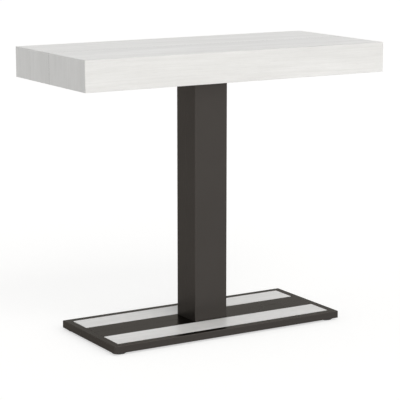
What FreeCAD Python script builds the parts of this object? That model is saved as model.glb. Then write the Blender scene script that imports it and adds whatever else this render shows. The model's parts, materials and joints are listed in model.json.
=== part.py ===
import FreeCAD, Part
import os
import re
import Sketcher

# Extending console table, closed: a folded wood-grain top on a square column and a flat framed base.
# Top, column and base are split along y = 0. The front half (y < 0) pulls away from the back half
# on two telescopic guides under the top, which leaves room for loose leaves between the halves.
# Millimetres, +Z up, origin on the floor under the middle of the closed table, length along X.

SIZES = (
    # The table as a whole
    ("top_width", 900),
    ("top_depth", 400),
    ("table_height", 770),
    ("seam", 0.05),
    # Boards of the top, folded at mitred edges
    ("board", 18),
    ("apron_height", 80),
    ("arris", 1),
    # Dowels across the split edge of the top
    ("dowel_radius", 4),
    ("dowel_length", 30),
    ("dowel_hold", 18),
    ("dowel_glue", 0.05),
    ("dowel_fit", 0.2),
    ("dowel_end_room", 2),
    ("dowel_tip", 1),
    ("inner_dowel_place", 140),
    ("outer_dowel_inset", 50),
    # Half columns and the flanges on top of them
    ("column_width", 100),
    ("column_half_depth", 48),
    ("column_wall", 2),
    ("column_corner", 2.5),
    ("column_seam_corner", 0.6),
    ("flange_length", 220),
    ("flange_reach", 120),
    ("flange_thick", 5),
    ("flange_corner", 10),
    ("flange_screw_edge", 18),
    # Base frame
    ("base_width", 700),
    ("base_depth", 300),
    ("rail_height", 20),
    ("rail_width", 20),
    ("rail_wall", 2),
    ("rail_corner", 1),
    ("inner_rail_width", 50),
    ("plug_depth", 12),
    ("plug_wall", 2),
    ("plug_fit", 0.1),
    # Inserts, the plates that carry them and the floor glides
    ("insert_thick", 16),
    ("insert_fit", 0.8),
    ("insert_edge", 0.5),
    ("plate_length", 50),
    ("plate_reach", 50),
    ("inner_plate_length", 80),
    ("inner_plate_inset", 100),
    ("plate_screw_edge", 8),
    ("glide_height", 5),
    ("glide_radius", 19),
    ("glide_edge", 1),
    ("glide_inset", 25),
    ("spigot_radius", 3),
    ("spigot_fit", 0.05),
    # Extruded bars of the guides, with a T-slot in each side
    ("bar_width", 14),
    ("bar_height", 44),
    ("bar_gap", 1),
    ("bar_drop", 2),
    ("bar_end_room", 12),
    ("bar_wall", 1.8),
    ("slot_mouth", 8),
    ("slot_head", 14),
    ("slot_lip", 2),
    ("slot_depth", 5.5),
    ("guide_start", 145),
    # Glide blocks between neighbouring bars
    ("block_length", 39.5),
    ("block_fit", 0.25),
    ("stop_gap", 0.5),
    # Angle brackets that hold the end bars of the guides
    ("bracket_thick", 3),
    ("bracket_leg", 25),
    ("bracket_drop", 36),
    ("bracket_length", 120),
    ("bracket_end_room", 20),
    ("bracket_bend", 1.5),
    ("bracket_hole_edge", 20),
    # Pan-head screws
    ("screw_radius", 2),
    ("screw_head_radius", 4),
    ("screw_head_height", 2.4),
    ("screw_head_edge", 0.8),
    ("screw_fit", 0.05),
    ("board_screw_length", 16),
    ("insert_bite", 10),
    ("bar_bite", 7),
    # Turn hooks that hold the closed halves together, and their shoulder screws
    ("hook_inset", 34),
    ("hook_setback", 24),
    ("hook_thick", 3),
    ("hook_play", 0.4),
    ("hook_eye", 9),
    ("hook_arm", 12),
    ("hook_head", 11),
    ("hook_turn_fit", 0.1),
    ("hook_catch_fit", 0.6),
    ("shoulder_radius", 4),
    ("shoulder_cap_radius", 6.5),
    ("shoulder_cap_height", 2),
    ("shoulder_bite", 10),
    # How far a cutting profile runs past the solid that it cuts
    ("overrun", 5),
)
BAR_COUNT = 7

# Heights and lengths that follow from the sizes above
PANEL_UNDER = "(table_height - board)"
APRON_UNDER = "(table_height - apron_height)"
FLANGE_UNDER = "(table_height - board - flange_thick)"
RAIL_TOP = "(glide_height + rail_height)"
PLATE_THICK = "(rail_height - insert_thick)"
DOWEL_PLACES = ("inner_dowel_place", "top_width / 2 - outer_dowel_inset")
INNER_EDGE = "(seam / 2 + inner_rail_width)"
OUTER_EDGE = "(base_depth / 2 - rail_width)"
END_EDGE = "(base_width / 2 - rail_width)"
INNER_PLATE_PLACE = f"({END_EDGE} - inner_plate_inset)"
BAR_PITCH = "(bar_width + bar_gap)"
BAR_LENGTH = "(top_depth - 2 * board - 2 * bar_end_room)"
BAR_MIDDLE = "(table_height - board - bar_drop - bar_height / 2)"
CHAMBER_MIDDLE = "((slot_head + bar_height) / 4)"
STAGE_TRAVEL = f"({BAR_LENGTH} - 2 * (block_length + stop_gap))"
BRACKET_HOLE = "((bracket_leg + bracket_thick) / 2)"
BRACKET_MIDDLE = f"({BAR_LENGTH} / 2 - bracket_end_room - bracket_length / 2)"
BRACKET_SPREAD = "(bracket_length / 2 - bracket_hole_edge)"
HOOK_PLACE = "(top_width / 2 - hook_inset)"
HOOK_REACH = "(2 * hook_setback)"
HOOK_UNDER = "(table_height - board - hook_play - hook_thick)"
CATCH_RADIUS = "(shoulder_radius + hook_catch_fit)"

SAME_PLACE = 0.0001
SIDES = (("back", 1), ("front", -1))
HANDS = (("left", -1), ("right", 1))
UP_TO_FRONT = FreeCAD.Rotation(FreeCAD.Vector(1, 0, 0), 90)

doc = FreeCAD.newDocument("ExtendingConsoleTable")
sheet = doc.addObject("Spreadsheet::Sheet", "Sizes")
for row, (alias, number) in enumerate(SIZES, 1):
    sheet.set(f"A{row}", alias.replace("_", " "))
    sheet.set(f"B{row}", str(number))
    sheet.setAlias(f"B{row}", alias)
doc.recompute()
nodes = {}


def sized(text):
    """The same sum with each size named as a cell of the sheet."""
    return re.sub(r"[a-z][a-z_]*", lambda word: "Sizes." + word.group(0), text)


def measure(text):
    return float(sheet.evalExpression(sized(text)))


def signed(sign, text):
    return text if sign > 0 else f"-({text})"


def place(item, x="0", y="0", z="0"):
    for axis, text in zip("xyz", (x, y, z)):
        if text != "0":
            item.setExpression("Placement.Base." + axis, sized(text))


def new_body(label, x="0", y="0", z="0"):
    body = doc.addObject("PartDesign::Body", label)
    body.Label = label
    place(body, x, y, z)
    return body


def as_node(item):
    nodes[item.Label] = item
    return item


# Sketches, whose points are sums of the sheet's sizes


def sketch_on(body, name, plane):
    sketch = body.newObject("Sketcher::SketchObject", name)
    support = next(item for item in body.Origin.OriginFeatures if item.Role == plane)
    sketch.AttachmentSupport = [(support, "")]
    sketch.MapMode = "FlatFace"
    return sketch


def hold_point(sketch, geometry, end, x, y):
    for kind, text, axis in (("DistanceX", x, -2), ("DistanceY", y, -1)):
        if text == "0":
            sketch.addConstraint(Sketcher.Constraint("PointOnObject", geometry, end, axis))
            continue
        number = sketch.addConstraint(Sketcher.Constraint(kind, geometry, end, measure(text)))
        sketch.setExpression(f"Constraints[{number}]", sized(text))


def outline(body, name, plane, *loops):
    sketch = sketch_on(body, name, plane)
    for points in loops:
        first = sketch.GeometryCount
        spots = [FreeCAD.Vector(measure(x), measure(y), 0) for x, y in points]
        for start, finish in zip(spots, spots[1:] + spots[:1]):
            sketch.addGeometry(Part.LineSegment(start, finish), False)
        for index, (x, y) in enumerate(points):
            after = first + (index + 1) % len(points)
            sketch.addConstraint(Sketcher.Constraint("Coincident", first + index, 2, after, 1))
            hold_point(sketch, first + index, 1, x, y)
    return sketch


def circles(body, name, plane, radius, places):
    sketch = sketch_on(body, name, plane)
    up = FreeCAD.Vector(0, 0, 1)
    for index, (x, y) in enumerate(places):
        middle = FreeCAD.Vector(measure(x), measure(y), 0)
        sketch.addGeometry(Part.Circle(middle, up, measure(radius)), False)
        number = sketch.addConstraint(Sketcher.Constraint("Radius", index, measure(radius)))
        sketch.setExpression(f"Constraints[{number}]", sized(radius))
        hold_point(sketch, index, 3, x, y)
    return sketch


def rectangle(low_x, low_y, high_x, high_y):
    return [(low_x, low_y), (high_x, low_y), (high_x, high_y), (low_x, high_y)]


def across(sign, near, far):
    """The low and the high end of a stretch that lies beside y = 0 or x = 0, on the side of its sign."""
    return (near, far) if sign > 0 else (signed(sign, far), signed(sign, near))


# Features


def pad(body, sketch, length, sides="One side", reverse=False):
    feature = body.newObject("PartDesign::Pad", sketch.Name + "_pad")
    feature.Profile = sketch
    feature.SideType = sides
    feature.Reversed = reverse
    feature.setExpression("Length", sized(length))
    return feature


def revolve(body, sketch):
    feature = body.newObject("PartDesign::Revolution", sketch.Name + "_turn")
    feature.Profile = sketch
    feature.ReferenceAxis = (sketch, ["V_Axis"])
    return feature


def pocket(body, sketch, length=None, sides="One side", reverse=False):
    doc.recompute()
    before = body.Shape.Volume
    feature = body.newObject("PartDesign::Pocket", sketch.Name + "_cut")
    feature.Profile = sketch
    feature.SideType = sides
    feature.Reversed = reverse
    if length is None:
        feature.Type = "ThroughAll"
    else:
        feature.setExpression("Length", sized(length))
    doc.recompute()
    if not body.Shape.Volume < before:
        raise ValueError(f"{body.Label}: {sketch.Name} cuts nothing")
    return feature


def ease(body, kind, size, wanted):
    """A fillet or a chamfer on the edges that the test picks from the body's last shape."""
    doc.recompute()
    base = body.Tip
    names = [f"Edge{number}" for number, edge in enumerate(base.Shape.Edges, 1) if wanted(edge)]
    feature = body.newObject("PartDesign::" + kind, f"{kind}_{size}")
    feature.Base = (base, names)
    feature.setExpression("Radius" if kind == "Fillet" else "Size", sized(size))
    return feature


def runs_along(edge, axis):
    box = edge.BoundBox
    spans = {"x": box.XLength, "y": box.YLength, "z": box.ZLength}
    return all((span > SAME_PLACE) == (name == axis) for name, span in spans.items())


def near(one, other):
    return abs(one - other) < SAME_PLACE


def group(label, pieces):
    compound = doc.addObject("Part::Compound", label)
    compound.Label = label
    compound.Links = pieces
    return as_node(compound)


def copies(label, master, places, turn=None):
    links = []
    for x, y, z in places:
        link = doc.addObject("App::Link", label + "_copy")
        link.LinkedObject = master
        if turn is not None:
            link.Placement = FreeCAD.Placement(FreeCAD.Vector(), turn)
        place(link, x, y, z)
        links.append(link)
    return links


# The folded top: a panel and three aprons on each half, mitred and eased at every outer edge


def panel_mitre(edge, inward):
    """What the fold takes off the panel: across runs in from the outer face, and up from its underside."""
    def out(text):
        return f"{edge} + {inward} * ({text})"
    return [
        (out("-overrun"), "-overrun"),
        (out("board + overrun"), "-overrun"),
        (out("arris / 2"), "board - arris / 2"),
        (out("arris + overrun"), "board + overrun"),
        (out("-overrun"), "board + overrun"),
    ]


def apron_mitre(edge, inward):
    """What the fold takes off an apron's top edge, on the same lines as the panel's mitre."""
    def out(text):
        return f"{edge} + {inward} * ({text})"
    return [
        (out("-overrun"), "apron_height - arris - overrun"),
        (out("arris / 2"), "apron_height - arris / 2"),
        (out("board + overrun"), "apron_height - board - overrun"),
        (out("board + overrun"), "apron_height + overrun"),
        (out("-overrun"), "apron_height + overrun"),
    ]


def flange_screw_places(sign):
    """Where the flange's screws enter the panel, as x and y."""
    spot_x = "flange_length / 2 - flange_screw_edge"
    reaches = ("flange_screw_edge", "flange_reach - flange_screw_edge")
    return [(signed(end, spot_x), signed(sign, reach)) for hand, end in HANDS for reach in reaches]


def bracket_board_places(side, sign):
    """Where the brackets' screws enter the panel, as x and y."""
    spot_x = bracket_face(side, BRACKET_HOLE)
    reaches = [f"{BRACKET_MIDDLE} + {spread} * {BRACKET_SPREAD}" for spread in (-1, 1)]
    return [(signed(end, spot_x), signed(sign, reach)) for hand, end in HANDS for reach in reaches]


def make_panel(side, sign):
    body = as_node(new_body(f"{side}_top_panel", z=PANEL_UNDER))
    low_y, high_y = across(sign, "seam / 2", "top_depth / 2")
    plan = outline(body, "Plan", "XY_Plane", rectangle("-top_width / 2", low_y, "top_width / 2", high_y))
    pad(body, plan, "board")
    long_fold = outline(body, "LongFold", "YZ_Plane", panel_mitre(f"{sign} * top_depth / 2", -sign))
    pocket(body, long_fold, sides="Symmetric")
    ends = [panel_mitre(f"{end} * top_width / 2", -end) for hand, end in HANDS]
    pocket(body, outline(body, "EndFolds", "XZ_Plane", *ends), sides="Symmetric")
    for name, spots, grip in (("FlangePilots", flange_screw_places(sign), "flange_thick"),
                              ("BracketPilots", bracket_board_places(side, sign), "bracket_thick")):
        pilots = circles(body, name, "XY_Plane", "screw_radius + screw_fit", spots)
        pocket(body, pilots, f"board_screw_length - {grip}", reverse=True)
    hooks = [(signed(end, HOOK_PLACE), signed(sign, "hook_setback")) for hand, end in HANDS]
    hook_pilots = circles(body, "HookPilots", "XY_Plane", "screw_radius + screw_fit", hooks)
    pocket(body, hook_pilots, "shoulder_bite", reverse=True)
    dowels = [(signed(end, spot), "board / 2") for hand, end in HANDS
              for spot in DOWEL_PLACES]
    glued = sign > 0
    radius = "dowel_radius + dowel_glue" if glued else "dowel_radius + dowel_fit"
    depth = "dowel_hold" if glued else "dowel_length - dowel_hold - seam + dowel_end_room"
    holes = circles(body, "DowelHoles", "XZ_Plane", radius, dowels)
    pocket(body, holes, f"{depth} + seam / 2", reverse=not glued)


def make_long_apron(side, sign):
    body = as_node(new_body(f"{side}_long_apron", z=APRON_UNDER))
    plan = []
    for end in (-1, 1):
        corner = [("arris", "0"), ("arris / 2", "arris / 2"), ("board", "board")]
        points = [(f"{end} * (top_width / 2 - {x})", f"{sign} * (top_depth / 2 - {y})") for x, y in corner]
        plan += points if end > 0 else points[::-1]
    pad(body, outline(body, "Plan", "XY_Plane", plan), "apron_height")
    fold = outline(body, "Fold", "YZ_Plane", apron_mitre(f"{sign} * top_depth / 2", -sign))
    pocket(body, fold, sides="Symmetric")


def make_end_apron(side, sign, hand, end):
    body = as_node(new_body(f"{side}_{hand}_end_apron", z=APRON_UNDER))
    corner = [("0", "arris"), ("arris / 2", "arris / 2"), ("board", "board")]
    plan = [(f"{end} * (top_width / 2 - {x})", f"{sign} * (top_depth / 2 - {y})") for x, y in corner]
    plan.append((f"{end} * (top_width / 2 - board)", f"{sign} * seam / 2"))
    plan.append((f"{end} * top_width / 2", f"{sign} * seam / 2"))
    pad(body, outline(body, "Plan", "XY_Plane", plan), "apron_height")
    fold = outline(body, "Fold", "XZ_Plane", apron_mitre(f"{end} * top_width / 2", -end))
    pocket(body, fold, sides="Symmetric")


def make_dowels():
    body = new_body("dowel")
    profile = [
        ("0", "0"),
        ("dowel_radius - dowel_tip", "0"),
        ("dowel_radius", "dowel_tip"),
        ("dowel_radius", "dowel_length - dowel_tip"),
        ("dowel_radius - dowel_tip", "dowel_length"),
        ("0", "dowel_length"),
    ]
    revolve(body, outline(body, "Profile", "XZ_Plane", profile))
    places = [(signed(end, spot), "seam / 2 + dowel_hold", "table_height - board / 2") for hand, end in HANDS
              for spot in DOWEL_PLACES]
    group("alignment_dowels", copies("alignment_dowels", body, places, UP_TO_FRONT))


# The pedestal: a half column and its flange on each half


def make_column(side, sign):
    body = as_node(new_body(f"{side}_column", z=RAIL_TOP))
    low_y, high_y = across(sign, "seam / 2", "seam / 2 + column_half_depth")
    inner_low_y, inner_high_y = f"{low_y} + column_wall", f"{high_y} - column_wall"
    outer = rectangle("-column_width / 2", low_y, "column_width / 2", high_y)
    inner = rectangle("-column_width / 2 + column_wall", inner_low_y, "column_width / 2 - column_wall",
                      inner_high_y)
    pad(body, outline(body, "Section", "XY_Plane", outer, inner), f"{FLANGE_UNDER} - {RAIL_TOP}")
    half_width = measure("column_width / 2")
    reaches = {"column_corner": "seam / 2 + column_half_depth", "column_seam_corner": "seam / 2"}
    for radius, reach in reaches.items():
        edge_y = sign * measure(reach)
        ease(body, "Fillet", radius, lambda edge: runs_along(edge, "z")
             and near(abs(edge.CenterOfMass.x), half_width) and near(edge.CenterOfMass.y, edge_y))


def make_flange(side, sign):
    body = as_node(new_body(f"{side}_column_flange", z=FLANGE_UNDER))
    low_y, high_y = across(sign, "seam / 2", "flange_reach")
    plan = rectangle("-flange_length / 2", low_y, "flange_length / 2", high_y)
    pad(body, outline(body, "Plan", "XY_Plane", plan), "flange_thick")
    edge_y = sign * measure("flange_reach")
    ease(body, "Fillet", "flange_corner",
         lambda edge: runs_along(edge, "z") and near(edge.CenterOfMass.y, edge_y))
    drill = circles(body, "Holes", "XY_Plane", "screw_radius + screw_fit", flange_screw_places(sign))
    pocket(body, drill, reverse=True)


# The base: welded tube rails with a let-in strip on each half


def rail_loop(low_x, high_x, skin):
    """A rail's outer outline on the body's own z = 0, moved in by a skin."""
    return rectangle(f"{low_x} + {skin}", skin, f"{high_x} - {skin}", f"rail_height - {skin}")


def tube(body, name, plane, low_x, high_x):
    outer = rectangle(low_x, "0", high_x, "rail_height")
    return outline(body, name, plane, outer, rail_loop(low_x, high_x, "rail_wall"))


def soften_rail(body, axis):
    """Rounds the four long outer edges of a rail."""
    doc.recompute()
    box = body.Tip.Shape.BoundBox
    across_axis = "y" if axis == "x" else "x"
    low, high = (box.YMin, box.YMax) if axis == "x" else (box.XMin, box.XMax)

    def on_corner(edge):
        side_place = getattr(edge.CenterOfMass, across_axis)
        on_side = near(side_place, low) or near(side_place, high)
        on_face = near(edge.CenterOfMass.z, box.ZMin) or near(edge.CenterOfMass.z, box.ZMax)
        return runs_along(edge, axis) and on_side and on_face
    ease(body, "Fillet", "rail_corner", on_corner)


def make_outer_rail(side, sign):
    body = as_node(new_body(f"{side}_base_outer_rail", z="glide_height"))
    low_y, high_y = across(sign, OUTER_EDGE, "base_depth / 2")
    pad(body, tube(body, "Section", "YZ_Plane", low_y, high_y), "base_width", "Symmetric")
    soften_rail(body, "x")
    mitres = []
    for end in (-1, 1):
        corner = [("-overrun", "-overrun"), ("rail_width + overrun", "rail_width + overrun"),
                  ("-overrun", "rail_width + overrun")]
        mitres.append([(f"{end} * (base_width / 2 - ({x}))", f"{sign} * (base_depth / 2 - ({y}))")
                       for x, y in corner])
    pocket(body, outline(body, "Mitres", "XY_Plane", *mitres), sides="Symmetric")


def make_end_rails(side, sign):
    rails = []
    for hand, end in HANDS:
        body = new_body(f"{side}_{hand}_end_rail", y=f"{sign} * seam / 2", z="glide_height")
        low_x, high_x = across(end, END_EDGE, "base_width / 2")
        section = tube(body, "Section", "XZ_Plane", low_x, high_x)
        pad(body, section, "base_depth / 2 - seam / 2", reverse=sign > 0)
        soften_rail(body, "y")
        corner = [("-overrun", "-overrun"), ("rail_width + overrun", "rail_width + overrun"),
                  ("rail_width + overrun", "-overrun")]
        mitre = [(f"{end} * (base_width / 2 - ({x}))", f"{sign} * (base_depth / 2 - seam / 2 - ({y}))")
                 for x, y in corner]
        pocket(body, outline(body, "Mitre", "XY_Plane", mitre), sides="Symmetric")
        rails.append(body)
    group(f"{side}_base_end_rails", rails)


def make_inner_rail(side, sign):
    body = as_node(new_body(f"{side}_base_inner_rail", z="glide_height"))
    low_y, high_y = across(sign, "seam / 2", INNER_EDGE)
    pad(body, tube(body, "Section", "YZ_Plane", low_y, high_y), f"2 * {END_EDGE}", "Symmetric")
    soften_rail(body, "x")


def make_end_plugs(side, sign):
    """Cupped plugs that close the end rails at the split."""
    plugs = []
    for hand, end in HANDS:
        body = new_body(f"{side}_{hand}_end_plug", y=f"{sign} * seam / 2", z="glide_height")
        low_x, high_x = across(end, END_EDGE, "base_width / 2")
        face = rail_loop(low_x, high_x, "(rail_wall + plug_fit)")
        inside = rail_loop(low_x, high_x, "(rail_wall + plug_fit + plug_wall)")
        pad(body, outline(body, "Face", "XZ_Plane", face), "plug_wall", reverse=sign > 0)
        pad(body, outline(body, "Skirt", "XZ_Plane", face, inside), "plug_depth", reverse=sign > 0)
        plugs.append(body)
    group(f"{side}_base_end_plugs", plugs)


def plate_places(end, sign):
    """For the outer and the inner plate at one end: its plan, its glide and its screw."""
    outer_y = across(sign, f"{OUTER_EDGE} - plate_reach", OUTER_EDGE)
    outer_x = across(end, f"{END_EDGE} - plate_length", END_EDGE)
    inner_y = across(sign, INNER_EDGE, f"{INNER_EDGE} + plate_reach")
    inner_x = across(end, f"{INNER_PLATE_PLACE} - inner_plate_length / 2",
                     f"{INNER_PLATE_PLACE} + inner_plate_length / 2")
    outer_glide = (f"{end} * (base_width / 2 - glide_inset)", f"{sign} * (base_depth / 2 - glide_inset)")
    outer_screw = (f"{end} * ({END_EDGE} - plate_length + plate_screw_edge)",
                   f"{sign} * ({OUTER_EDGE} - plate_reach + plate_screw_edge)")
    inner_glide = (f"{end} * ({INNER_PLATE_PLACE} + inner_plate_length / 2 - plate_reach / 2)",
                   f"{sign} * ({INNER_EDGE} + plate_reach / 2)")
    inner_screw = (f"{end} * ({INNER_PLATE_PLACE} - inner_plate_length / 2 + plate_screw_edge)",
                   f"{sign} * ({INNER_EDGE} + plate_reach / 2)")
    return [
        (rectangle(outer_x[0], outer_y[0], outer_x[1], outer_y[1]), outer_glide, outer_screw),
        (rectangle(inner_x[0], inner_y[0], inner_x[1], inner_y[1]), inner_glide, inner_screw),
    ]


def make_plates(side, sign):
    plates = []
    for hand, end in HANDS:
        for plan, glide, screw in plate_places(end, sign):
            body = new_body(f"{side}_{hand}_support_plate", z="glide_height")
            pad(body, outline(body, "Plan", "XY_Plane", plan), PLATE_THICK)
            glide_hole = circles(body, "GlideHole", "XY_Plane", "spigot_radius + spigot_fit", [glide])
            pocket(body, glide_hole, reverse=True)
            screw_hole = circles(body, "ScrewHole", "XY_Plane", "screw_radius + screw_fit", [screw])
            pocket(body, screw_hole, reverse=True)
            plates.append(body)
    group(f"{side}_base_support_plates", plates)


def make_insert(side, sign):
    body = as_node(new_body(f"{side}_base_insert", z=f"glide_height + {PLATE_THICK}"))
    low_y, high_y = across(sign, f"{INNER_EDGE} + insert_fit", f"{OUTER_EDGE} - insert_fit")
    plan = rectangle(f"-{END_EDGE} + insert_fit", low_y, f"{END_EDGE} - insert_fit", high_y)
    pad(body, outline(body, "Plan", "XY_Plane", plan), "insert_thick")
    top = measure("insert_thick")
    ease(body, "Chamfer", "insert_edge", lambda edge: near(edge.BoundBox.ZMin, top))
    screws = [screw for hand, end in HANDS for plan, glide, screw in plate_places(end, sign)]
    pilots = circles(body, "Pilots", "XY_Plane", "screw_radius + screw_fit", screws)
    pocket(body, pilots, "insert_bite", reverse=True)


def make_glide():
    """A disc that stands on the floor, with a spigot that presses into its plate."""
    body = new_body("floor_glide")
    profile = [
        ("0", "0"),
        ("glide_radius - glide_edge", "0"),
        ("glide_radius", "glide_edge"),
        ("glide_radius", "glide_height"),
        ("spigot_radius", "glide_height"),
        ("spigot_radius", f"glide_height + {PLATE_THICK}"),
        ("0", f"glide_height + {PLATE_THICK}"),
    ]
    revolve(body, outline(body, "Profile", "XZ_Plane", profile))
    return body


# Screws: the shank points along the body's own +Z from the seat of the head at z = 0


def make_screw(label, length):
    body = new_body(label)
    profile = [
        ("0", "-screw_head_height"),
        ("screw_head_radius - screw_head_edge", "-screw_head_height"),
        ("screw_head_radius", "-screw_head_height + screw_head_edge"),
        ("screw_head_radius", "0"),
        ("screw_radius", "0"),
        ("screw_radius", length),
        ("0", length),
    ]
    revolve(body, outline(body, "Profile", "XZ_Plane", profile))
    return body


def make_shoulder_screw():
    """Stands in the panel's underside at z = 0, with its shoulder and cap below."""
    body = new_body("shoulder_screw")
    cap_top = "-(hook_thick + 2 * hook_play)"
    profile = [
        ("0", "shoulder_bite"),
        ("screw_radius", "shoulder_bite"),
        ("screw_radius", "0"),
        ("shoulder_radius", "0"),
        ("shoulder_radius", cap_top),
        ("shoulder_cap_radius", cap_top),
        ("shoulder_cap_radius", f"{cap_top} - shoulder_cap_height"),
        ("0", f"{cap_top} - shoulder_cap_height"),
    ]
    revolve(body, outline(body, "Profile", "XZ_Plane", profile))
    return body


# Telescopic guides: bar 1, the outermost, is fixed to the back half and bar 7 to the front half.
# Each pair of neighbours is keyed together by glide blocks that lie in both their slots: one held at
# the front end of the outer bar, one at the back end of the inner bar. The two meet at full travel.


def bar_inner_face(number):
    return f"(guide_start + {BAR_COUNT - number} * {BAR_PITCH})"


def bracket_face(side, outwards):
    """A distance from the middle, measured out from the bar's face that the side's bracket is screwed to."""
    if side == "back":
        return f"{bar_inner_face(1)} + bar_width + {outwards}"
    return f"{bar_inner_face(BAR_COUNT)} - {outwards}"


def bracket_screw_places(sign):
    """How far along its bar each screw of a bracket lies, as y."""
    return [f"{sign} * ({BRACKET_MIDDLE} + {spread} * {BRACKET_SPREAD})" for spread in (-1, 1)]


def bar_section():
    half, lip, floor = "bar_width / 2", "bar_width / 2 - slot_lip", "bar_width / 2 - slot_depth"
    mouth, head, top = "slot_mouth / 2", "slot_head / 2", "bar_height / 2"
    right = [(half, f"-({top})"), (half, f"-({mouth})"), (lip, f"-({mouth})"), (lip, f"-({head})"),
             (floor, f"-({head})"), (floor, head), (lip, head), (lip, mouth), (half, mouth), (half, top)]
    left = [(f"-({x})", z) for x, z in right[::-1]]
    chamber = ("-bar_width / 2 + bar_wall", "slot_head / 2 + bar_wall",
               "bar_width / 2 - bar_wall", "bar_height / 2 - bar_wall")
    upper = rectangle(*chamber)
    lower = [(x, f"-({z})") for x, z in upper]
    return right + left, upper, lower


def make_bar(number, hand, end):
    body = as_node(new_body(f"{hand}_slide_bar_{number}",
                            x=f"{end} * ({bar_inner_face(number)} + bar_width / 2)", z=BAR_MIDDLE))
    pad(body, outline(body, "Section", "XZ_Plane", *bar_section()), BAR_LENGTH, "Symmetric")
    for sign, held_bar, facing in ((1, 1, end), (-1, BAR_COUNT, -end)):
        if number == held_bar:
            spots = [(y, CHAMBER_MIDDLE) for y in bracket_screw_places(sign)]
            holes = circles(body, "BracketHoles", "YZ_Plane", "screw_radius + screw_fit", spots)
            pocket(body, holes, reverse=facing > 0)


def make_block(label, x, y):
    inner, outer = "(bar_gap / 2 + slot_lip + block_fit)", "(bar_gap / 2 + slot_depth - block_fit)"
    neck, head = "(slot_mouth / 2 - block_fit)", "(slot_head / 2 - block_fit)"
    upper = [(outer, head), (inner, head), (inner, neck)]
    top = upper + [(f"-{x_place}", z_place) for x_place, z_place in upper[::-1]]
    bottom = [(x_place, f"-{z_place}") for x_place, z_place in top[::-1]]
    body = new_body(label, x=x, y=y, z=BAR_MIDDLE)
    pad(body, outline(body, "Section", "XZ_Plane", top + bottom), "block_length", "Symmetric")
    return body


def make_blocks(number):
    """The blocks that one pair of bars carries, left and right."""
    label = f"slide_blocks_{number}"
    end_place = f"({BAR_LENGTH} - block_length) / 2"
    blocks = []
    for hand, end in HANDS:
        inner_gap = f"{end} * ({bar_inner_face(number)} - bar_gap / 2)"
        outer_gap = f"{end} * ({bar_inner_face(number)} + bar_width + bar_gap / 2)"
        if number < BAR_COUNT:
            blocks.append(make_block(f"{label}_front_{hand}", inner_gap, f"-{end_place}"))
        if number > 1:
            blocks.append(make_block(f"{label}_back_{hand}", outer_gap, end_place))
    group(label, blocks)


def make_brackets(side, sign):
    brackets = []
    for hand, end in HANDS:
        away = end if side == "back" else -end
        body = new_body(f"{side}_{hand}_slide_bracket", x=f"{end} * ({bracket_face(side, '0')})",
                        y=f"{sign} * {BRACKET_MIDDLE}", z=PANEL_UNDER)
        angle = [("0", "0"), ("bracket_leg", "0"), ("bracket_leg", "-bracket_thick"),
                 ("bracket_thick", "-bracket_thick"), ("bracket_thick", "-bracket_drop"),
                 ("0", "-bracket_drop")]
        section = [(x if x == "0" else f"{away} * {x}", z) for x, z in angle]
        pad(body, outline(body, "Section", "XZ_Plane", section), "bracket_length", "Symmetric")
        thick = measure("bracket_thick")
        ease(body, "Fillet", "bracket_bend", lambda edge: runs_along(edge, "y")
             and near(abs(edge.CenterOfMass.x), thick) and near(edge.CenterOfMass.z, -thick))
        ease(body, "Fillet", "bracket_bend + bracket_thick", lambda edge: runs_along(edge, "y")
             and near(edge.CenterOfMass.x, 0) and near(edge.CenterOfMass.z, 0))
        spreads = [f"{spread} * {BRACKET_SPREAD}" for spread in (-1, 1)]
        board_holes = [(f"{away} * {BRACKET_HOLE}", spread) for spread in spreads]
        drill = circles(body, "BoardHoles", "XY_Plane", "screw_radius + screw_fit", board_holes)
        pocket(body, drill)
        bar_holes = [(spread, f"{BAR_MIDDLE} + {CHAMBER_MIDDLE} - {PANEL_UNDER}") for spread in spreads]
        side_drill = circles(body, "BarHoles", "YZ_Plane", "screw_radius + screw_fit", bar_holes)
        pocket(body, side_drill, reverse=away > 0)
        brackets.append(body)
    group(f"{side}_slide_brackets", brackets)


def make_bracket_screws(side, sign, screw):
    links = []
    for hand, end in HANDS:
        away = end if side == "back" else -end
        into_bar = FreeCAD.Rotation(FreeCAD.Vector(0, 1, 0), -away * 90)
        face = f"{end} * ({bracket_face(side, 'bracket_thick')})"
        places = [(face, y, f"{BAR_MIDDLE} + {CHAMBER_MIDDLE}") for y in bracket_screw_places(sign)]
        links += copies(f"{side}_bracket_screws", screw, places, into_bar)
    group(f"{side}_bracket_screws", links)


# Turn hooks: flat hooks on the front half that swing towards the back half's shoulder screws


def cylinder(name, radius, x, y):
    item = doc.addObject("Part::Cylinder", name)
    item.setExpression("Radius", sized(radius))
    item.setExpression("Height", sized("hook_thick"))
    place(item, x, y, HOOK_UNDER)
    return item


def block(name, length, width, x, y):
    item = doc.addObject("Part::Box", name)
    item.setExpression("Length", sized(length))
    item.setExpression("Width", sized(width))
    item.setExpression("Height", sized("hook_thick"))
    place(item, x, y, HOOK_UNDER)
    return item


def combine(kind, name, first, second):
    item = doc.addObject("Part::" + kind, name)
    item.Base = first
    item.Tool = second
    return item


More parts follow.
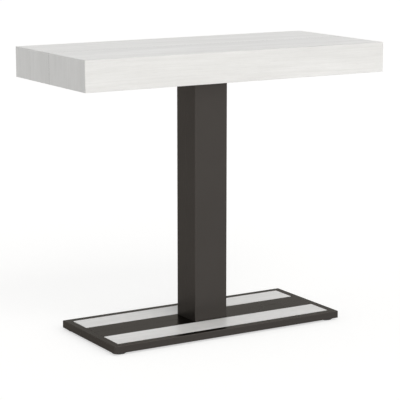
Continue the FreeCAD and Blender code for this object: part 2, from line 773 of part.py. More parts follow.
def make_hook(hand, end):
    """Swung open at rest, along the split. Its mouth is a slot on the circle that the pin runs along."""
    pivot_x, pivot_y = f"{end} * {HOOK_PLACE}", "-hook_setback"
    head_x = f"{end} * ({HOOK_PLACE} - {HOOK_REACH})"
    name = f"{hand}_turn_hook"
    eye = cylinder(name + "_eye", "hook_eye", pivot_x, pivot_y)
    head = cylinder(name + "_head", "hook_head", head_x, pivot_y)
    arm_x = pivot_x if end < 0 else head_x
    arm = block(name + "_arm", HOOK_REACH, "hook_arm", arm_x, "-hook_setback - hook_arm / 2")
    solid = combine("Fuse", name + "_blank", combine("Fuse", name + "_ends", eye, head), arm)
    outer = cylinder(name + "_slot_outer", f"{HOOK_REACH} + {CATCH_RADIUS}", pivot_x, pivot_y)
    inner = cylinder(name + "_slot_inner", f"{HOOK_REACH} - {CATCH_RADIUS}", pivot_x, pivot_y)
    window = block(name + "_slot_window", "2 * (hook_head + overrun)", "hook_head + overrun",
                   f"{head_x} - hook_head - overrun", "-hook_setback")
    slot = combine("Common", name + "_slot", combine("Cut", name + "_ring", outer, inner), window)
    seat = cylinder(name + "_seat", CATCH_RADIUS, head_x, pivot_y)
    hole = cylinder(name + "_hole", "shoulder_radius + hook_turn_fit", pivot_x, pivot_y)
    opened = combine("Cut", name + "_open", solid, combine("Fuse", name + "_mouth", slot, seat))
    hook = combine("Cut", name, opened, hole)
    hook.Label = name
    as_node(hook)


def make_half(side, sign, board_screw, insert_screw, bar_screw, glide, shoulder_screw):
    make_panel(side, sign)
    make_long_apron(side, sign)
    for hand, end in HANDS:
        make_end_apron(side, sign, hand, end)
    make_column(side, sign)
    make_flange(side, sign)
    make_outer_rail(side, sign)
    make_end_rails(side, sign)
    make_inner_rail(side, sign)
    make_end_plugs(side, sign)
    make_plates(side, sign)
    make_insert(side, sign)
    make_brackets(side, sign)
    make_bracket_screws(side, sign, bar_screw)
    board_spots = [(x, y, FLANGE_UNDER) for x, y in flange_screw_places(sign)]
    board_spots += [(x, y, f"{PANEL_UNDER} - bracket_thick") for x, y in bracket_board_places(side, sign)]
    group(f"{side}_top_screws", copies(f"{side}_top_screws", board_screw, board_spots))
    plates = [found for hand, end in HANDS for found in plate_places(end, sign)]
    insert_spots = [(screw[0], screw[1], "glide_height") for plan, spot, screw in plates]
    group(f"{side}_insert_screws", copies(f"{side}_insert_screws", insert_screw, insert_spots))
    glide_spots = [(spot[0], spot[1], "0") for plan, spot, screw in plates]
    group(f"{side}_floor_glides", copies(f"{side}_floor_glides", glide, glide_spots))
    hook_spots = [(signed(end, HOOK_PLACE), signed(sign, "hook_setback"), PANEL_UNDER) for hand, end in HANDS]
    label = "hook_pivots" if side == "front" else "hook_pins"
    group(label, copies(label, shoulder_screw, hook_spots))


board_screw_body = make_screw("board_screw", "board_screw_length")
insert_screw_body = make_screw("insert_screw", f"{PLATE_THICK} + insert_bite")
bar_screw_body = make_screw("bar_screw", "bracket_thick + bar_bite")
glide_body = make_glide()
shoulder_screw_body = make_shoulder_screw()
for side_name, side_sign in SIDES:
    make_half(side_name, side_sign, board_screw_body, insert_screw_body, bar_screw_body, glide_body,
              shoulder_screw_body)
make_dowels()
for bar_number in range(1, BAR_COUNT + 1):
    for hand_name, hand_side in HANDS:
        make_bar(bar_number, hand_name, hand_side)
    make_blocks(bar_number)
for hand_name, hand_side in HANDS:
    make_hook(hand_name, hand_side)

doc.recompute()
for item in doc.Objects:
    if {"Invalid", "Error"} & set(item.State):
        raise ValueError(f"{item.Label} did not build: {item.State}")
for label, item in nodes.items():
    if item.Shape.isNull() or not item.Shape.isValid() or not item.Shape.Solids:
        raise ValueError(f"{label} has no valid solid")
os.makedirs("parts", exist_ok=True)
for label, item in nodes.items():
    item.Shape.exportStep(f"parts/{label}.step")
print(f"{len(nodes)} nodes, travel {(BAR_COUNT - 1) * measure(STAGE_TRAVEL):g} mm")
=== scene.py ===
import json
import math

import bmesh
import bpy
from mathutils import Matrix, Vector


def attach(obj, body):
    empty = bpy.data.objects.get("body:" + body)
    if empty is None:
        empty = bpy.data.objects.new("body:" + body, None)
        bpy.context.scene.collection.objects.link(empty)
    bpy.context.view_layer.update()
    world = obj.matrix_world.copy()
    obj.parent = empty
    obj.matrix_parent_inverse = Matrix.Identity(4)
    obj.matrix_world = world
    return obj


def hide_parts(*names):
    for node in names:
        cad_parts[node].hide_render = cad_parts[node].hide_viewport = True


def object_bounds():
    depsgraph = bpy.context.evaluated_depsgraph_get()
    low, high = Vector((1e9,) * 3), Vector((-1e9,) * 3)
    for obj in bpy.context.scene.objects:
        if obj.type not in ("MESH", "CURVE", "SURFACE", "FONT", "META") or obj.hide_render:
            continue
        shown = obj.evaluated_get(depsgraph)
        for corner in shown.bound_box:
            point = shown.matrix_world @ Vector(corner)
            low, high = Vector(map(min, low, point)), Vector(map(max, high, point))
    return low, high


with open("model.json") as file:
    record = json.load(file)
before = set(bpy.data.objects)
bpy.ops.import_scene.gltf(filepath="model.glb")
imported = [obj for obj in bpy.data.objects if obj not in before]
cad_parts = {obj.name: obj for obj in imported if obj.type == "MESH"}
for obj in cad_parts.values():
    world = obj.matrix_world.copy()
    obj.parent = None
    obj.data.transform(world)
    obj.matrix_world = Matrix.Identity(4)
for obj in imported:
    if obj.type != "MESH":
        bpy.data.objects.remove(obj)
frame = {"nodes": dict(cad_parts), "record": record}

CAD_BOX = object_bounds()
RECORD = frame["record"]
NODES = frame["nodes"]
SLOT_OF = {part["node"]: part["material_slot"] for part in RECORD["subparts"]}
BODY_OF = {node: body for body, nodes in RECORD["behaviour"]["bodies"].items() for node in nodes}
TABLE_TOP = CAD_BOX[1].z
MM = 0.001

# Camera: the photograph's point of view, in metres and degrees
LENS_MM = 147.2
SENSOR_MM = 36.0
CAMERA_PLACE = Vector((-2.2343, -3.7262, 1.1948))
CAMERA_YAW = math.radians(30.88)
CAMERA_PITCH = math.radians(11.03)

# Light: one broad key from the front, a weak fill from the left and an even sky
WHITE = (1.0, 1.0, 1.0, 1.0)
SKY_STRENGTH = 0.50
SKY_SHOWN_STRENGTH = 1.0
KEY_STRENGTH = 0.70
KEY_COLOUR = (1.0, 0.985, 0.96)
KEY_FROM = Vector((0.04, -0.88, 0.34))
KEY_SPREAD = math.radians(80.0)
FILL_STRENGTH = 0.07
FILL_COLOUR = (0.97, 0.985, 1.0)
FILL_FROM = Vector((-0.90, -0.20, 0.45))
FILL_SPREAD = math.radians(70.0)

# Floor: just under the glides, and lifted to white where it is seen
FLOOR_SPAN = 60.0
FLOOR_HEIGHT = -0.4 * MM
FLOOR_COLOUR = (0.58, 0.58, 0.575, 1.0)
FLOOR_LIFT = 0.56

# White board: its colour, those of its marks, and the paper on its back
BOARD_WHITE = (0.85, 0.848, 0.838, 1.0)
BOARD_STREAK = (0.73, 0.728, 0.718, 1.0)
BOARD_FLAME = (0.70, 0.695, 0.68, 1.0)
BOARD_LINE = (0.66, 0.655, 0.635, 1.0)
BOARD_PORE = (0.56, 0.55, 0.53, 1.0)
# Darker colour along the folded edges: painted shade of the shadow line at each fold
BOARD_EDGE = (0.62, 0.615, 0.60, 1.0)
# Dark line at the split: a glue line, and painted shade of the seam between the halves
BOARD_GLUE_AND_SEAM_SHADE = (0.17, 0.158, 0.14, 1.0)
PAPER_PALE = (0.77, 0.77, 0.76, 1.0)
PAPER_DARK = (0.74, 0.74, 0.73, 1.0)

# How strongly each piece of board is figured, and where on the sheet the inserts are cut, in metres
PANEL_FIGURE = 1.0
EDGE_FIGURE = 0.5
INSERT_START = (3.0, 1.7, 0.0)

# Grain: how far it wanders, how much its flames show and how deep its marks are, and how dull the paper is
GRAIN_SWAY = 8.0 * MM
PLAIN_FLAME_SHARE = 0.14
FIGURED_FLAME_SHARE = 0.2
LINE_DEPTH_SHARE = 0.7
PORE_DEPTH_SHARE = 0.5
PAPER_ROUGHER = 0.12

# The dark line at the split, a glue line with painted shade of the seam: full this near to the split, and
# gone this far from it
JOINT_FULL = 0.6 * MM
JOINT_GONE = 1.1 * MM

# Powder coat: its colours, the tint of its reflections at a low angle, and its two finishes
COAT_PALE = (0.0577, 0.0523, 0.0481, 1.0)
COAT_DARK = (0.0541, 0.0490, 0.0451, 1.0)
COAT_FLECK = (0.080, 0.073, 0.067, 1.0)
# Paler edge colour: partly rubbed coat, partly a painted highlight on the rounded corners
COAT_EDGE = (0.105, 0.097, 0.09, 1.0)
GLANCE_TINT_SHARES = (1.0, 0.988, 0.96)
COAT_ROUGH_SPAN = 0.04
COLUMN_FINISH = {"metal": 0.84, "rough": 0.31, "glance": 0.45}
RAIL_FINISH = {"metal": 1.0, "rough": 0.24, "glance": 0.485}

# Metals, plastics and beech
METAL_RUBBED = (0.80, 0.80, 0.80, 1.0)
ALUMINIUM_PALE = (0.68, 0.685, 0.69, 1.0)
ALUMINIUM_DARK = (0.57, 0.58, 0.59, 1.0)
ZINC_COOL = (0.60, 0.635, 0.68, 1.0)
ZINC_WARM = (0.68, 0.655, 0.58, 1.0)
NYLON_PALE = (0.83, 0.82, 0.78, 1.0)
NYLON_DARK = (0.76, 0.75, 0.71, 1.0)
NYLON_RUBBED = (0.55, 0.55, 0.54, 1.0)
BLACK_PLASTIC = (0.018, 0.018, 0.0185, 1.0)
BLACK_DUST = (0.033, 0.033, 0.033, 1.0)
BLACK_SCUFF = (0.075, 0.075, 0.075, 1.0)
BEECH_PALE = (0.63, 0.43, 0.27, 1.0)
BEECH_DARK = (0.50, 0.32, 0.185, 1.0)
BEECH_CRUSHED = (0.44, 0.28, 0.16, 1.0)
BEECH_FLECK = (0.30, 0.17, 0.09, 1.0)

# Most of a noise lies between these two levels
NOISE_LOW = 0.3
NOISE_HIGH = 0.7

# Sockets of the colour mix node, which share their names
MIX_SHARE, MIX_FIRST, MIX_SECOND, MIX_RESULT = 0, 6, 7, 2

# How a rounded edge is found: the cosine of its turn where wear starts and where it is full
BEVEL_SAMPLES = 6
EDGE_STARTS = 0.995
EDGE_FULL = 0.80

# Turned pieces: corners nearer than this are one, their steps are compared at so many decimal places of
# a metre, and a screw has so many sides
WELD = 0.001 * MM
STEP_PLACES = 5
SCREW_SIDES = 32

# Screws, in shares of the head: its dome as (depth, radius) from the flat top down, and its cross recess
HEAD_DOME_SHARES = ((0.00, 0.78), (0.10, 0.90), (0.28, 0.975), (0.50, 1.00))
CROSS_ARM_SHARE = 0.58
CROSS_WIDTH_SHARE = 0.17
CROSS_BOTTOM_SHARE = 0.55
CROSS_DEPTH_SHARE = 0.70

# Dowels: their flutes, each drawn as these shares of the radius, and their chamfered ends
DOWEL_FLUTES = 18
DOWEL_FLUTE_SHARES = (1.0, 1.0, 0.92, 1.0)
DOWEL_CHAMFER = 1.2 * MM
DOWEL_TIP_SHARE = 0.74


# Shader building blocks


def connect(tree, value, socket):
    """Links a socket to a value that is a socket too, and sets it to any other."""
    if isinstance(value, bpy.types.NodeSocket):
        tree.links.new(value, socket)
    else:
        socket.default_value = value


def shader_node(tree, kind, inputs=None, **settings):
    """Adds one shader node, with its inputs connected."""
    made = tree.nodes.new("ShaderNode" + kind)
    for name, value in settings.items():
        setattr(made, name, value)
    for name, value in (inputs or {}).items():
        connect(tree, value, made.inputs[name])
    return made


def maths(tree, operation, *values):
    """The result of one sum."""
    return shader_node(tree, "Math", dict(enumerate(values)), operation=operation).outputs[0]


def vectors(tree, operation, *values):
    """The result of one vector sum."""
    made = shader_node(tree, "VectorMath", dict(enumerate(values)), operation=operation)
    return made.outputs["Value" if operation == "DOT_PRODUCT" else "Vector"]


def ranged(tree, value, low, high, to_low, to_high):
    """Takes low..high to to_low..to_high, and no further."""
    limits = {"Value": value, "From Min": low, "From Max": high, "To Min": to_low, "To Max": to_high}
    return shader_node(tree, "MapRange", limits).outputs["Result"]


def share(tree, value, starts, full):
    """Rises from zero where the value starts to one where it is full."""
    return ranged(tree, value, starts, full, 0.0, 1.0)


def roughness_from(tree, marks, least, most):
    """Roughness that follows a noise."""
    return ranged(tree, marks, NOISE_LOW, NOISE_HIGH, least, most)


def mixed(tree, part, first, second):
    """A colour that goes from the first to the second as the part goes from zero to one."""
    sockets = {MIX_SHARE: part, MIX_FIRST: first, MIX_SECOND: second}
    return shader_node(tree, "Mix", sockets, data_type="RGBA").outputs[MIX_RESULT]


def marked(tree, under, marks, strength, colour):
    """Lays marks of a colour over what is under them."""
    return mixed(tree, maths(tree, "MULTIPLY", marks, strength), under, colour)


def even(count):
    """The same count of features per metre along each axis."""
    return (count, count, count)


def noise(tree, place, per_metre, detail=2.0, roughness=0.5):
    """Noise with its own count of features per metre along each axis."""
    scaled = vectors(tree, "MULTIPLY", place, per_metre)
    inputs = {"Vector": scaled, "Scale": 1.0, "Detail": detail, "Roughness": roughness}
    return shader_node(tree, "TexNoise", inputs).outputs[0]


def object_place(tree):
    """Places in the table's own frame, in metres."""
    return shader_node(tree, "TexCoord").outputs["Object"]


def flat_normal(tree):
    """The normal of the bare mesh."""
    return shader_node(tree, "NewGeometry").outputs["True Normal"]


def rounded_edges(tree, radius):
    """The normal of a piece whose edges are rounded, and a share that rises to one along them."""
    normal = shader_node(tree, "Bevel", {"Radius": radius}, samples=BEVEL_SAMPLES).outputs["Normal"]
    facing = vectors(tree, "DOT_PRODUCT", normal, flat_normal(tree))
    return normal, share(tree, facing, EDGE_STARTS, EDGE_FULL)


def bumped(tree, height, normal, distance, strength):
    """A normal that follows a fine relief."""
    inputs = {"Height": height, "Distance": distance, "Strength": strength, "Normal": normal}
    return shader_node(tree, "Bump", inputs).outputs["Normal"]


def new_material(name):
    """A material with an empty tree, its shader and its output."""
    material = bpy.data.materials.new(name)
    material.use_nodes = True
    tree = material.node_tree
    tree.nodes.clear()
    shader = shader_node(tree, "BsdfPrincipled")
    shader_node(tree, "OutputMaterial", {"Surface": shader.outputs[0]})
    return material, tree, shader


def feed(tree, shader, **inputs):
    """Connects the shader's inputs, named with underscores for spaces."""
    for name, value in inputs.items():
        connect(tree, value, shader.inputs[name.replace("_", " ")])


# The white board


def sheet_place(tree, outward, start):
    """Places on the board's flat sheet, before its edges were folded down: the grain runs on over folds."""
    place = object_place(tree)
    height = shader_node(tree, "SeparateXYZ", {0: place}).outputs["Z"]
    drop = maths(tree, "SUBTRACT", TABLE_TOP, height)
    folded = shader_node(tree, "CombineXYZ", {"X": drop, "Y": drop, "Z": drop}).outputs[0]
    unfolded = vectors(tree, "ADD", place, vectors(tree, "MULTIPLY", folded, outward))
    plane = (1.0, 1.0, 0.0)
    return vectors(tree, "ADD", vectors(tree, "MULTIPLY", unfolded, plane), start)


def wandering(tree, place):
    """The same places, moved a little across the grain, which isn't dead straight."""
    drift = noise(tree, place, per_metre=(1.1, 5.0, 1.0))
    across = ranged(tree, drift, NOISE_LOW, NOISE_HIGH, -GRAIN_SWAY, GRAIN_SWAY)
    sway = shader_node(tree, "CombineXYZ", {"Y": across}).outputs[0]
    return vectors(tree, "ADD", place, sway)


def grain_marks(tree, place):
    """Broad streaks, short flames, fine lines and pores, all along the sheet's X."""
    broad = noise(tree, place, per_metre=(1.6, 19.0, 1.0), detail=3.0, roughness=0.45)
    short = noise(tree, place, per_metre=(9.0, 70.0, 1.0))
    fine = noise(tree, place, per_metre=(2.4, 240.0, 1.0), detail=4.0, roughness=0.6)
    dots = noise(tree, place, per_metre=(45.0, 1500.0, 1.0))
    streaks = share(tree, broad, starts=0.34, full=0.66)
    flames = share(tree, short, starts=0.38, full=0.62)
    lines = share(tree, fine, starts=0.42, full=0.72)
    pores = share(tree, dots, starts=0.5, full=0.75)
    return streaks, flames, lines, pores


def glue_and_seam_shade_line(tree, edges):
    """One along the edges where the two halves meet, at mid depth: a glue line, and painted shade of the
    seam between the halves.
    """
    depth = shader_node(tree, "SeparateXYZ", {0: object_place(tree)}).outputs["Y"]
    from_split = maths(tree, "ABSOLUTE", depth)
    joint = ranged(tree, from_split, JOINT_FULL, JOINT_GONE, 1.0, 0.0)
    rim = share(tree, edges, starts=0.0, full=0.25)
    return maths(tree, "MULTIPLY", joint, rim)


def backing_paper(tree):
    """The plain paper on the board's hidden side, faintly mottled."""
    mottle = noise(tree, object_place(tree), per_metre=even(160.0), detail=3.0)
    return mixed(tree, share(tree, mottle, starts=0.35, full=0.65), PAPER_PALE, PAPER_DARK)


def board(name, outward, inward, figure, start=(0.0, 0.0, 0.0)):
    """White wood-grain board, as strongly figured as given, with a plain backing that faces inward."""
    material, tree, shader = new_material(name)
    place = wandering(tree, sheet_place(tree, outward, start))
    streaks, flames, lines, pores = grain_marks(tree, place)
    rounded, edges = rounded_edges(tree, radius=1.2 * MM)
    flame_share = PLAIN_FLAME_SHARE + FIGURED_FLAME_SHARE * figure
    washed = marked(tree, BOARD_WHITE, streaks, strength=figure, colour=BOARD_STREAK)
    flamed = marked(tree, washed, flames, strength=flame_share, colour=BOARD_FLAME)
    lined = marked(tree, flamed, lines, strength=0.26, colour=BOARD_LINE)
    grain = marked(tree, lined, pores, strength=0.22, colour=BOARD_PORE)
    # Darker along the folded edges: painted shade of the shadow line at each fold
    fold_shaded = marked(tree, grain, edges, strength=0.35, colour=BOARD_EDGE)
    # Dark line at the split between the halves: a glue line, and painted shade of the seam
    glued_and_seam_shaded = mixed(tree, glue_and_seam_shade_line(tree, edges), fold_shaded, BOARD_GLUE_AND_SEAM_SHADE)
    inner = vectors(tree, "DOT_PRODUCT", flat_normal(tree), inward)
    backing = share(tree, inner, starts=0.6, full=0.7)
    line_depth = maths(tree, "MULTIPLY", lines, LINE_DEPTH_SHARE)
    pore_depth = maths(tree, "MULTIPLY", pores, PORE_DEPTH_SHARE)
    relief = maths(tree, "ADD", line_depth, pore_depth)
    sunk = maths(tree, "MULTIPLY", relief, maths(tree, "SUBTRACT", backing, 1.0))
    satin = ranged(tree, lines, 0.0, 1.0, to_low=0.32, to_high=0.44)
    dull = maths(tree, "MULTIPLY", backing, PAPER_ROUGHER)
    feed(
        tree,
        shader,
        Base_Color=mixed(tree, backing, glued_and_seam_shaded, backing_paper(tree)),
        Roughness=maths(tree, "ADD", satin, dull),
        Specular_IOR_Level=0.25,
        Normal=bumped(tree, sunk, rounded, distance=0.12 * MM, strength=0.5),
    )
    return material


def board_materials():
    """A board for each way that a piece was folded down from the sheet, by the end of its node's name."""
    down = Vector((0.0, 0.0, -1.0))
    flat = Vector((0.0, 0.0, 0.0))
    left = Vector((-1.0, 0.0, 0.0))
    right = Vector((1.0, 0.0, 0.0))
    front = Vector((0.0, -1.0, 0.0))
    back = Vector((0.0, 1.0, 0.0))
    return {
        "top_panel": board("board_panel", flat, down, PANEL_FIGURE),
        "front_long_apron": board("board_front_apron", front, -front, EDGE_FIGURE),
        "back_long_apron": board("board_back_apron", back, -back, EDGE_FIGURE),
        "left_end_apron": board("board_left_apron", left, -left, EDGE_FIGURE),
        "right_end_apron": board("board_right_apron", right, -right, EDGE_FIGURE),
        "base_insert": board("board_insert", flat, down, EDGE_FIGURE, INSERT_START),
    }


# The other materials


def coated_steel(name, metal, rough, glance):
    """Anthracite powder coat with orange peel, speckle and paler edges, partly rubbed coat and partly a
    painted highlight; glance dims it at a low angle.
    """
    material, tree, shader = new_material(name)
    place = object_place(tree)
    speckle = noise(tree, place, per_metre=even(2600.0), detail=1.0)
    clouds = noise(tree, place, per_metre=even(7.0), detail=3.0)
    peel = noise(tree, place, per_metre=even(420.0), roughness=0.4)
    tone = mixed(tree, share(tree, clouds, NOISE_LOW, NOISE_HIGH), COAT_PALE, COAT_DARK)
    flecks = share(tree, speckle, starts=0.55, full=0.75)
    flecked = marked(tree, tone, flecks, strength=0.5, colour=COAT_FLECK)
    rounded, edges = rounded_edges(tree, radius=1.0 * MM)
    patchy = ranged(tree, clouds, 0.35, 0.65, to_low=0.15, to_high=0.55)
    feed(
        tree,
        shader,
        # Paler along the rounded edges: rubbed coat, and a painted highlight on the corners
        Base_Color=marked(tree, flecked, edges, strength=patchy, colour=COAT_EDGE),
        Metallic=metal,
        Roughness=roughness_from(tree, clouds, least=rough, most=rough + COAT_ROUGH_SPAN),
        Specular_IOR_Level=0.0,
        Specular_Tint=[glance * part for part in GLANCE_TINT_SHARES] + [1.0],
        Normal=bumped(tree, peel, rounded, distance=0.05 * MM, strength=0.15),
    )
    return material


def rail_materials():
    """The base rails' glossier coat, by the end of the node's name."""
    coat = coated_steel("coated_rails", **RAIL_FINISH)
    return {ending: coat for ending in ("outer_rail", "inner_rail", "end_rails")}


def bar_aluminium():
    """Extruded aluminium, natural anodised: die lines along Y."""
    material, tree, shader = new_material("bar_aluminium")
    place = object_place(tree)
    lines = noise(tree, place, per_metre=(1400.0, 2.5, 1400.0), detail=3.0, roughness=0.6)
    bands = noise(tree, place, per_metre=(170.0, 0.8, 170.0))
    smudges = noise(tree, place, per_metre=(22.0, 14.0, 22.0), detail=3.0)
    tone = mixed(tree, share(tree, bands, starts=0.35, full=0.65), ALUMINIUM_PALE, ALUMINIUM_DARK)
    rounded, edges = rounded_edges(tree, radius=0.6 * MM)
    feed(
        tree,
        shader,
        Base_Color=marked(tree, tone, edges, strength=0.6, colour=METAL_RUBBED),
        Metallic=1.0,
        Roughness=roughness_from(tree, smudges, least=0.28, most=0.44),
        Normal=bumped(tree, lines, rounded, distance=0.03 * MM, strength=0.5),
    )
    return material


def white_plastic():
    """Nylon glide blocks, with a faint flow marking and greyed running edges."""
    material, tree, shader = new_material("white_plastic")
    place = object_place(tree)
    flow = noise(tree, place, per_metre=(90.0, 18.0, 90.0), detail=4.0, roughness=0.6)
    skin = noise(tree, place, per_metre=even(1800.0))
    tone = mixed(tree, share(tree, flow, starts=0.35, full=0.65), NYLON_PALE, NYLON_DARK)
    rounded, edges = rounded_edges(tree, radius=0.8 * MM)
    feed(
        tree,
        shader,
        Base_Color=marked(tree, tone, edges, strength=0.5, colour=NYLON_RUBBED),
        Roughness=roughness_from(tree, flow, least=0.42, most=0.58),
        Normal=bumped(tree, skin, rounded, distance=0.03 * MM, strength=0.4),
    )
    return material


def dark_plastic():
    """Moulded black plastic, finely textured, with scuffed rims."""
    material, tree, shader = new_material("dark_plastic")
    place = object_place(tree)
    texture = noise(tree, place, per_metre=even(2200.0))
    dust = noise(tree, place, per_metre=even(60.0), detail=4.0, roughness=0.6)
    tone = mixed(tree, share(tree, dust, starts=0.4, full=0.7), BLACK_PLASTIC, BLACK_DUST)
    rounded, edges = rounded_edges(tree, radius=1.0 * MM)
    patchy = ranged(tree, dust, 0.4, 0.6, to_low=0.2, to_high=0.8)
    feed(
        tree,
        shader,
        Base_Color=marked(tree, tone, edges, strength=patchy, colour=BLACK_SCUFF),
        Roughness=roughness_from(tree, dust, least=0.46, most=0.62),
        Normal=bumped(tree, texture, rounded, distance=0.05 * MM, strength=0.5),
    )
    return material


def zinc_steel():
    """Zinc plated steel: a cool and a warm passivation tint in soft clouds, and a fine grainy skin."""
    material, tree, shader = new_material("zinc_steel")
    place = object_place(tree)
    clouds = noise(tree, place, per_metre=even(55.0), detail=3.0)
    skin = noise(tree, place, per_metre=even(900.0), detail=3.0)
    tone = mixed(tree, share(tree, clouds, starts=0.35, full=0.65), ZINC_COOL, ZINC_WARM)
    rounded, edges = rounded_edges(tree, radius=0.5 * MM)
    feed(
        tree,
        shader,
        Base_Color=marked(tree, tone, edges, strength=0.5, colour=METAL_RUBBED),
        Metallic=1.0,
        Roughness=roughness_from(tree, skin, least=0.30, most=0.46),
        Normal=bumped(tree, skin, rounded, distance=0.03 * MM, strength=0.4),
    )
    return material


def beech():
    """Plain beech with short dark flecks along Y, and crushed edges."""
    material, tree, shader = new_material("beech")
    place = object_place(tree)
    grain = noise(tree, place, per_metre=(420.0, 16.0, 420.0), detail=3.0)
    rays = noise(tree, place, per_metre=(1500.0, 130.0, 1500.0))
    tone = mixed(tree, share(tree, grain, NOISE_LOW, NOISE_HIGH), BEECH_PALE, BEECH_DARK)
    flecks = share(tree, rays, starts=0.58, full=0.72)
    rounded, edges = rounded_edges(tree, radius=0.4 * MM)
    crushed = marked(tree, tone, edges, strength=0.5, colour=BEECH_CRUSHED)
    feed(
        tree,
        shader,
        Base_Color=marked(tree, crushed, flecks, strength=0.6, colour=BEECH_FLECK),
        Roughness=roughness_from(tree, grain, least=0.55, most=0.70),
        Normal=bumped(tree, rays, rounded, distance=0.08 * MM, strength=0.5),
    )
    return material


def dress_nodes(by_slot, by_ending):
    """Gives every node the material for the end of its name, or else the one for its slot."""
    for name, node in NODES.items():
        material = by_slot.get(SLOT_OF[name])
        for ending, special in by_ending.items():
            if name.endswith(ending):
                material = special
        for slot in node.material_slots:
            slot.material = material


# Finer screws and dowels, in the place of the turned solids


def loose_parts(name):
    """The corner points of each separate solid of a node."""
    shape = bmesh.new()
    shape.from_mesh(NODES[name].data)
    bmesh.ops.remove_doubles(shape, verts=shape.verts, dist=WELD)
    done = set()
    parts = []
    for start in shape.verts:
        if start in done:
            continue
        done.add(start)
        reached = [start]
        part = []
        while reached:
            corner = reached.pop()
            part.append(corner.co.copy())
            others = [edge.other_vert(corner) for edge in corner.link_edges]
            fresh = [other for other in others if other not in done]
            done.update(fresh)
            reached.extend(fresh)
        parts.append(part)
    shape.free()
    return parts


def turned_profile(part):
    """A turned solid's frame, with Z out of its wider end, and its steps from there as (depth, radius)."""
    low = Vector(min(point[i] for point in part) for i in range(3))
    high = Vector(max(point[i] for point in part) for i in range(3))
    middle = (low + high) / 2
    spans = high - low
    axis = max(range(3), key=lambda i: spans[i])
    steps = set()
    for point in part:
        out = point - middle
        along = out[axis]
        out[axis] = 0.0
        steps.add((round(along, STEP_PLACES), round(out.length, STEP_PLACES)))
    near, far = min(steps)[0], max(steps)[0]
    width_near = max(radius for along, radius in steps if along == near)
    width_far = max(radius for along, radius in steps if along == far)
    outward = 1.0 if width_far > width_near else -1.0
    head = max(near * outward, far * outward)
    direction = Vector((0.0, 0.0, 0.0))
    direction[axis] = outward
    turn = direction.to_track_quat("Z", "Y").to_matrix().to_4x4()
    place = Matrix.Translation(middle + direction * head) @ turn
    profile = [(round(head - along * outward, STEP_PLACES), radius) for along, radius in steps if radius > 0]
    return place, sorted(profile, key=lambda step: (step[0], -step[1]))


def ring(shape, radius, height, steps, shares=(1.0,)):
    """A loop of corners; its radius goes through the given shares in turn."""
    corners = []
    for step in range(steps):
        turn = 2 * math.pi * step / steps
        reach = radius * shares[step % len(shares)]
        corners.append(shape.verts.new((reach * math.cos(turn), reach * math.sin(turn), height)))
    return corners


def wall(shape, upper, lower):
    """Faces between two loops of equally many corners."""
    count = len(upper)
    for step in range(count):
        after = (step + 1) % count
        shape.faces.new((upper[step], lower[step], lower[after], upper[after]))


def stack(shape, rings):
    """Walls from each ring down to the next."""
    for upper, lower in zip(rings, rings[1:]):
        wall(shape, upper, lower)


def cross_loop(shape, arm, half_width, height):
    """The outline of a cross recess."""
    corners = []
    for quarter in range(4):
        turn = Matrix.Rotation(quarter * math.pi / 2, 3, "Z")
        for x, y in ((arm, -half_width), (arm, half_width), (half_width, half_width)):
            corners.append(shape.verts.new(turn @ Vector((x, y, height))))
    return corners


def loop_edges(shape, corners):
    """The edges of a closed loop of corners, made where they are missing."""
    pairs = zip(corners, corners[1:] + corners[:1])
    return [shape.edges.get(pair) or shape.edges.new(pair) for pair in pairs]


def screw_shape(profile):
    """A turned screw with a domed head and a cross recess, head up, with the head's top at zero."""
    shape = bmesh.new()
    head_radius = max(radius for _, radius in profile)
    head_height = max(depth for depth, radius in profile if radius == head_radius)
    dome = [(head_height * depth, head_radius * width) for depth, width in HEAD_DOME_SHARES]
    below = [step for step in profile if step[0] >= head_height]
    rings = [ring(shape, radius, -depth, SCREW_SIDES) for depth, radius in dome + below]
    stack(shape, rings)
    shape.faces.new(list(reversed(rings[-1])))
    arm = head_radius * CROSS_ARM_SHARE
    half_width = head_radius * CROSS_WIDTH_SHARE
    mouth = cross_loop(shape, arm, half_width, 0.0)
    depth = head_height * CROSS_DEPTH_SHARE
    bottom = cross_loop(shape, arm * CROSS_BOTTOM_SHARE, half_width * CROSS_BOTTOM_SHARE, -depth)
    wall(shape, mouth, bottom)
    shape.faces.new(bottom)
    rim = loop_edges(shape, rings[0]) + loop_edges(shape, mouth)
    bmesh.ops.triangle_fill(shape, use_beauty=True, edges=rim)
    bmesh.ops.recalc_face_normals(shape, faces=shape.faces)
    return shape


def dowel_shape(profile):
    """A fluted dowel with chamfered ends, its end at zero."""
    shape = bmesh.new()
    radius = max(width for _, width in profile)
    length = max(depth for depth, _ in profile)
    steps = DOWEL_FLUTES * len(DOWEL_FLUTE_SHARES)
    rings = [
        ring(shape, radius * DOWEL_TIP_SHARE, 0.0, steps),
        ring(shape, radius, -DOWEL_CHAMFER, steps, DOWEL_FLUTE_SHARES),
        ring(shape, radius, DOWEL_CHAMFER - length, steps, DOWEL_FLUTE_SHARES),
        ring(shape, radius * DOWEL_TIP_SHARE, -length, steps),
    ]
    stack(shape, rings)
    shape.faces.new(rings[0])
    shape.faces.new(list(reversed(rings[-1])))
    bmesh.ops.recalc_face_normals(shape, faces=shape.faces)
    return shape


def replace_turned(node, make_shape, material):
    """Stands a finer piece in the place of each turned solid of a node."""
    whole = bmesh.new()
    for part in loose_parts(node):
        place, profile = turned_profile(part)
        shape = make_shape(profile)
        shape.transform(place)
        copy = bpy.data.meshes.new(node + "_one")
        shape.to_mesh(copy)
        shape.free()
        whole.from_mesh(copy)
        bpy.data.meshes.remove(copy)
    mesh = bpy.data.meshes.new(node + "_detail")
    whole.to_mesh(mesh)
    whole.free()
    mesh.materials.append(material)
    piece = bpy.data.objects.new(node + "_detail", mesh)
    bpy.context.scene.collection.objects.link(piece)
    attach(piece, BODY_OF[node])
    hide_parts(node)


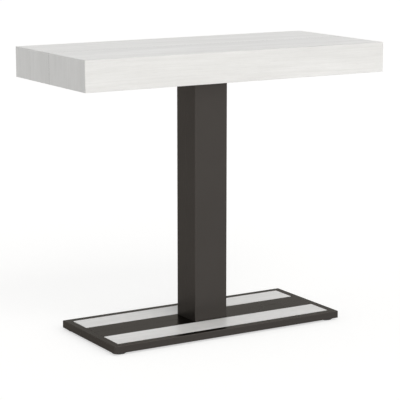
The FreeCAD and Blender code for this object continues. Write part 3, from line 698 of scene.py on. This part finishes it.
def detail_pieces(by_slot):
    """Screws, shoulder screws and dowels with the detail of the real ones."""
    for name in sorted(NODES):
        if name.endswith("_screws") or name in ("hook_pins", "hook_pivots"):
            replace_turned(name, screw_shape, by_slot["zinc_steel"])
    replace_turned("alignment_dowels", dowel_shape, by_slot["beech"])


# Floor, light and camera


def seen_directly(tree):
    """One for rays from the camera, a reflection or a clear surface."""
    path = shader_node(tree, "LightPath")
    seen = maths(tree, "MAXIMUM", path.outputs["Is Camera Ray"], path.outputs["Is Glossy Ray"])
    return maths(tree, "MAXIMUM", seen, path.outputs["Is Transmission Ray"])


def make_world():
    """A white surround, which lights the object less than it shows."""
    world = bpy.data.worlds.new("studio")
    bpy.context.scene.world = world
    world.use_nodes = True
    tree = world.node_tree
    tree.nodes.clear()
    sky = shader_node(tree, "Background", {"Color": WHITE, "Strength": SKY_STRENGTH})
    shown = shader_node(tree, "Background", {"Color": WHITE, "Strength": SKY_SHOWN_STRENGTH})
    sockets = {0: seen_directly(tree), 1: sky.outputs[0], 2: shown.outputs[0]}
    both = shader_node(tree, "MixShader", sockets)
    shader_node(tree, "OutputWorld", {"Surface": both.outputs[0]})


def floor_material():
    """A pale matt floor that shows white where no shadow falls, and is clear from below."""
    material = bpy.data.materials.new("floor")
    material.use_nodes = True
    tree = material.node_tree
    tree.nodes.clear()
    matt = shader_node(tree, "BsdfDiffuse", {"Color": FLOOR_COLOUR})
    lift = maths(tree, "MULTIPLY", seen_directly(tree), FLOOR_LIFT)
    glow = shader_node(tree, "Emission", {"Color": WHITE, "Strength": lift})
    both = shader_node(tree, "AddShader", {0: matt.outputs[0], 1: glow.outputs[0]})
    below = shader_node(tree, "NewGeometry").outputs["Backfacing"]
    clear = shader_node(tree, "BsdfTransparent")
    sided = shader_node(tree, "MixShader", {0: below, 1: both.outputs[0], 2: clear.outputs[0]})
    shader_node(tree, "OutputMaterial", {"Surface": sided.outputs[0]})
    return material


def make_floor():
    """One wide square under the table."""
    mesh = bpy.data.meshes.new("floor")
    half = FLOOR_SPAN / 2
    sides = ((-1, -1), (1, -1), (1, 1), (-1, 1))
    corners = [(x * half, y * half, FLOOR_HEIGHT) for x, y in sides]
    mesh.from_pydata(corners, [], [(0, 1, 2, 3)])
    mesh.materials.append(floor_material())
    floor = bpy.data.objects.new("floor", mesh)
    bpy.context.scene.collection.objects.link(floor)


def make_sun(name, strength, colour, comes_from, spread):
    """A far lamp, whose strength is about what a white surface that faces it shows."""
    light = bpy.data.lights.new(name, "SUN")
    light.energy = strength * math.pi
    light.color = colour
    light.angle = spread
    sun = bpy.data.objects.new(name, light)
    sun.rotation_mode = "QUATERNION"
    sun.rotation_quaternion = (-comes_from).to_track_quat("-Z", "Y")
    bpy.context.scene.collection.objects.link(sun)


def make_camera():
    """The photograph's camera, turned right from +Y by its yaw and down by its pitch."""
    data = bpy.data.cameras.new("camera")
    data.lens = LENS_MM
    data.sensor_width = SENSOR_MM
    camera = bpy.data.objects.new("camera", data)
    level = math.cos(CAMERA_PITCH)
    sideways = math.sin(CAMERA_YAW) * level
    forward = math.cos(CAMERA_YAW) * level
    ahead = Vector((sideways, forward, -math.sin(CAMERA_PITCH)))
    camera.rotation_mode = "QUATERNION"
    camera.rotation_quaternion = ahead.to_track_quat("-Z", "Y")
    camera.location = CAMERA_PLACE
    bpy.context.scene.collection.objects.link(camera)
    bpy.context.scene.camera = camera


materials = {
    "coated_steel": coated_steel("coated_steel", **COLUMN_FINISH),
    "bar_aluminium": bar_aluminium(),
    "white_plastic": white_plastic(),
    "dark_plastic": dark_plastic(),
    "zinc_steel": zinc_steel(),
    "beech": beech(),
}
dress_nodes(materials, {**board_materials(), **rail_materials()})
detail_pieces(materials)
make_world()
make_floor()
make_sun("key", KEY_STRENGTH, KEY_COLOUR, KEY_FROM, KEY_SPREAD)
make_sun("fill", FILL_STRENGTH, FILL_COLOUR, FILL_FROM, FILL_SPREAD)
make_camera()
bpy.context.scene.view_settings.view_transform = "Standard"
